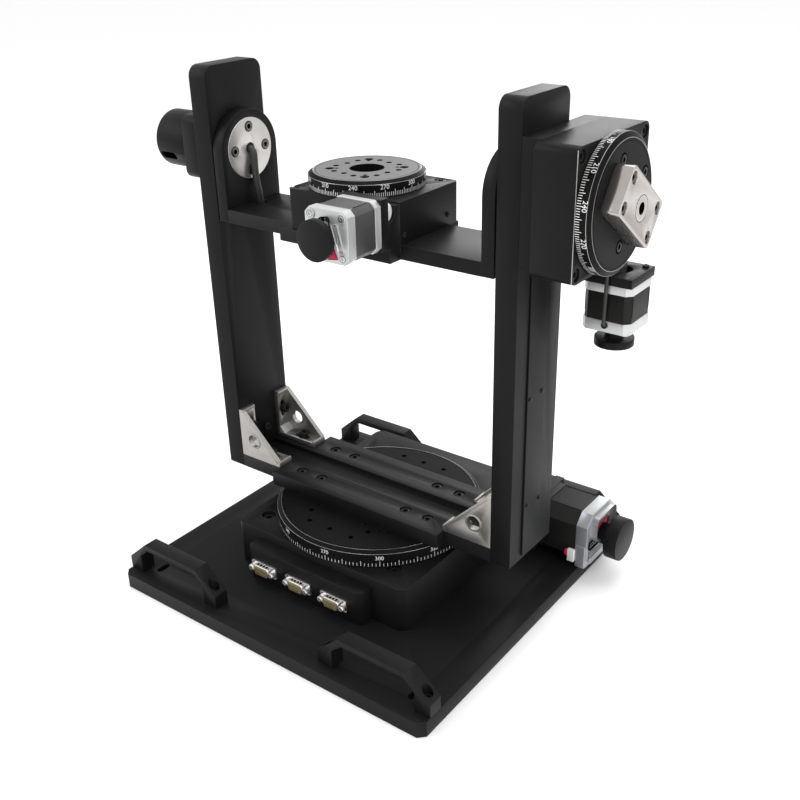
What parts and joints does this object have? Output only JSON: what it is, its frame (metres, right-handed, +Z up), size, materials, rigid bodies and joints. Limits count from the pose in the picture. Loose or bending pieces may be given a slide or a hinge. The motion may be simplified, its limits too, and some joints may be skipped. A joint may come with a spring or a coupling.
{
  "type": "motorized rotation stage",
  "caption": "Three-axis motorized rotation stage: a worm-driven azimuth table carries a yoke, whose tilting cradle holds a small worm-driven rotary table.",
  "frame": {"origin": "on the azimuth axis, at the underside of the base plate", "axes": "+Z up along the azimuth axis, +X along the tilt axis towards the elevation stage, +Y to the rear, away from the signal sockets"},
  "size_m": [0.487, 0.36, 0.474],
  "materials": {
    "black_anodised": "black anodised",
    "clear_anodised": "bead blasted, clear anodised",
    "cast_aluminium": "die cast",
    "lamination": "satin black",
    "steel": "ground",
    "bronze": "machined",
    "plated_steel": "tin plated",
    "black_plastic": "moulded",
    "cable_jacket": "smooth jacket"
  },
  "bodies": {
    "stand": {"base_plate": "black_anodised", "front_left_handle": "black_anodised", "front_right_handle": "black_anodised", "rear_left_handle": "black_anodised", "rear_right_handle": "black_anodised", "azimuth_housing": "black_anodised", "connector_box": "black_anodised", "signal_sockets": "plated_steel", "azimuth_motor_mount": "black_anodised", "azimuth_motor_stator": "lamination", "azimuth_motor_caps": "cast_aluminium"},
    "yoke": {"azimuth_table": "black_anodised", "azimuth_worm_wheel": "bronze", "yoke_beam": "black_anodised", "left_arm": "black_anodised", "right_arm": "black_anodised", "arm_duct_cover": "black_anodised", "left_front_bracket": "cast_aluminium", "left_rear_bracket": "cast_aluminium", "right_front_bracket": "cast_aluminium", "right_rear_bracket": "cast_aluminium", "left_bearing": "steel", "slip_ring_block": "black_anodised", "slip_ring_cover": "black_anodised", "slip_ring_capsule": "black_plastic", "elevation_adapter": "black_anodised", "elevation_housing": "black_anodised", "elevation_motor_mount": "black_anodised", "elevation_motor_stator": "lamination", "elevation_motor_caps": "cast_aluminium", "elevation_motor_lead": "cable_jacket"},
    "azimuth_drive": {"azimuth_worm": "steel", "azimuth_coupling": "clear_anodised", "azimuth_motor_shaft": "steel", "azimuth_knob": "black_anodised"},
    "cradle": {"elevation_table": "black_anodised", "elevation_worm_wheel": "bronze", "shaft_clamp": "clear_anodised", "right_trunnion": "steel", "right_end_plate": "black_anodised", "cradle_floor": "black_anodised", "left_end_plate": "black_anodised", "left_trunnion": "clear_anodised", "cradle_cable": "cable_jacket", "top_housing": "black_anodised", "top_motor_mount": "black_anodised", "top_motor_stator": "lamination", "top_motor_caps": "cast_aluminium"},
    "elevation_drive": {"elevation_worm": "steel", "elevation_coupling": "clear_anodised", "elevation_motor_shaft": "steel", "elevation_knob": "black_anodised"},
    "top_rotor": {"top_table": "black_anodised", "top_worm_wheel": "bronze"},
    "top_drive": {"top_worm": "steel", "top_coupling": "clear_anodised", "top_motor_shaft": "steel", "top_knob": "black_anodised"}
  },
  "joints": [
    {"name": "azimuth_turn", "type": "hinge", "parent": "stand", "child": "yoke", "pos_m": [0, 0, 0.06], "axis": [0, 0, 1], "continuous": true},
    {"name": "azimuth_knob_turn", "type": "hinge", "parent": "stand", "child": "azimuth_drive", "pos_m": [0.131, 0.108, 0.0437], "axis": [1, 0, 0], "continuous": true},
    {"name": "elevation_turn", "type": "hinge", "parent": "yoke", "child": "cradle", "pos_m": [0.189, 0, 0.399], "axis": [1, 0, 0], "continuous": true},
    {"name": "elevation_knob_turn", "type": "hinge", "parent": "yoke", "child": "elevation_drive", "pos_m": [0.21, 0.056, 0.399], "axis": [0, 0, -1], "continuous": true},
    {"name": "top_turn", "type": "hinge", "parent": "cradle", "child": "top_rotor", "pos_m": [0, 0, 0.349], "axis": [0, 0, 1], "continuous": true},
    {"name": "top_knob_turn", "type": "hinge", "parent": "cradle", "child": "top_drive", "pos_m": [0.0395, 0, 0.3705], "axis": [0, -1, 0], "continuous": true}
  ],
  "couplings": [
    {"joint": "azimuth_knob_turn", "follows": "azimuth_turn", "ratio": 180},
    {"joint": "elevation_knob_turn", "follows": "elevation_turn", "ratio": 90},
    {"joint": "top_knob_turn", "follows": "top_turn", "ratio": 60}
  ]
}
